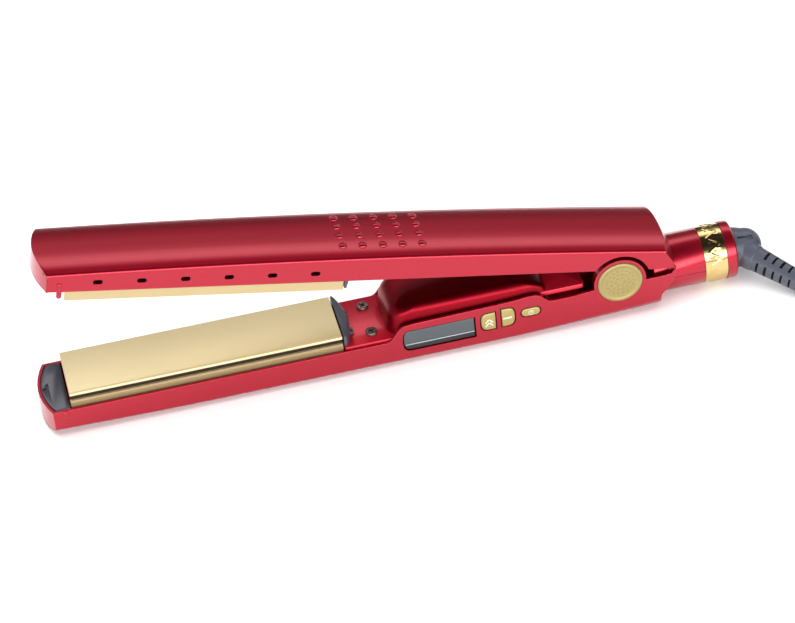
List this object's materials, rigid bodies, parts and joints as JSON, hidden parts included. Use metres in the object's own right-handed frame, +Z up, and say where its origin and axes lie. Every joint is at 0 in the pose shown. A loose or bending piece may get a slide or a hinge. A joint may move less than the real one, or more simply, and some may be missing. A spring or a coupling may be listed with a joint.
{
  "type": "hair straightening iron",
  "caption": "Hair straightening iron with two hinged arms, floating gold heating plates, a side control panel and a swivel cord outlet.",
  "frame": {"origin": "centre of the flat strip under the lower arm that the iron rests on", "axes": "+X from the plates' tip to the cord outlet, +Z up, and the control panel faces -Y"},
  "size_m": [0.4603, 0.0953, 0.0953],
  "materials": {
    "red_shell": "satin metallic red",
    "dark_red_cover": "satin dark red",
    "cap_slate": "matte slate grey",
    "swivel_slate": "matte slate grey",
    "gold_plate": "polished champagne gold coating",
    "gold_trim": "satin olive gold",
    "gold_band": "polished gold",
    "black_steel": "black oxide",
    "steel": "bright steel",
    "window_glass": "dark clear window",
    "lcd": "grey display",
    "board_green": "solder resist",
    "board_dark": "dark moulded parts",
    "lead_sleeve": "woven sleeve",
    "carrier_black": "heat resistant plastic",
    "ceramic": "ceramic",
    "bronze": "bronze",
    "cord_black": "matte cord jacket",
    "plug_black": "moulded plug",
    "plug_pin": "nickel"
  },
  "bodies": {
    "lower_arm": {"lower_housing": "red_shell", "tail_top_cover": "red_shell", "lower_inner_cover": "dark_red_cover", "lower_tip_cap": "cap_slate", "lower_rear_cap": "cap_slate", "lower_screws": "black_steel", "display_window": "window_glass", "display_module": "lcd", "control_board": "board_green", "tact_switches": "board_dark", "power_board": "board_green", "board_parts": "board_dark", "board_screws": "steel", "lower_leads": "lead_sleeve", "lower_float_springs": "steel", "hinge_pin": "steel", "hinge_sleeve": "board_dark", "hinge_washers": "lead_sleeve", "hinge_spring": "black_steel", "near_hinge_cap": "gold_trim", "far_hinge_cap": "gold_trim", "tail_band": "gold_band", "tail_end_ring": "red_shell", "swivel_brushes": "bronze"},
    "up_key": {"up_button": "gold_trim"},
    "down_key": {"down_button": "gold_trim"},
    "power_key": {"power_button": "gold_trim"},
    "lower_float": {"lower_plate": "gold_plate", "lower_carrier": "carrier_black", "lower_heater": "ceramic", "lower_heater_clip": "steel", "lower_thermistor": "ceramic"},
    "upper_arm": {"upper_housing": "red_shell", "upper_inner_cover": "dark_red_cover", "upper_tip_cap": "cap_slate", "upper_rear_cap": "cap_slate", "upper_screws": "black_steel", "upper_leads": "lead_sleeve", "thermal_fuse": "ceramic", "upper_float_springs": "steel", "hinge_bushes": "bronze"},
    "upper_float": {"upper_plate": "gold_plate", "upper_carrier": "carrier_black", "upper_heater": "ceramic", "upper_heater_clip": "steel", "upper_thermistor": "ceramic"},
    "cord_swivel": {"swivel_elbow": "swivel_slate", "slip_rings": "bronze", "strain_relief": "swivel_slate", "power_cord": "cord_black", "cord_coil": "cord_black", "cord_tail": "cord_black", "cord_tie": "plug_black", "plug_body": "plug_black", "plug_pins": "plug_pin"}
  },
  "joints": [
    {"name": "arm_hinge", "type": "hinge", "parent": "lower_arm", "child": "upper_arm", "pos_m": [0.125, 0, 0.0222], "axis": [0, -1, 0], "range_deg": [0, 11.84], "stiffness_Nm_per_rad": 2, "springref_deg": -20.05, "deforming": ["hinge_spring"]},
    {"name": "lower_plate_float", "type": "slide", "parent": "lower_arm", "child": "lower_float", "axis": [0, 0, -1], "range_m": [0, 0.001], "stiffness_N_per_m": 3000, "springref_m": -0.0008, "deforming": ["lower_float_springs"]},
    {"name": "upper_plate_float", "type": "slide", "parent": "upper_arm", "child": "upper_float", "axis": [0.2052, 0, 0.9787], "range_m": [0, 0.001], "stiffness_N_per_m": 3000, "springref_m": -0.0008, "deforming": ["upper_float_springs"]},
    {"name": "up_button_press", "type": "slide", "parent": "lower_arm", "child": "up_key", "axis": [0, 1, 0], "range_m": [0, 0.0005], "stiffness_N_per_m": 600, "springref_m": -0.0003},
    {"name": "down_button_press", "type": "slide", "parent": "lower_arm", "child": "down_key", "axis": [0, 1, 0], "range_m": [0, 0.0005], "stiffness_N_per_m": 600, "springref_m": -0.0003},
    {"name": "power_button_press", "type": "slide", "parent": "lower_arm", "child": "power_key", "axis": [0, 1, 0], "range_m": [0, 0.0005], "stiffness_N_per_m": 600, "springref_m": -0.0003},
    {"name": "swivel_turn", "type": "hinge", "parent": "lower_arm", "child": "cord_swivel", "pos_m": [0.19, 0, 0.0136], "axis": [1, 0, 0], "continuous": true}
  ]
}
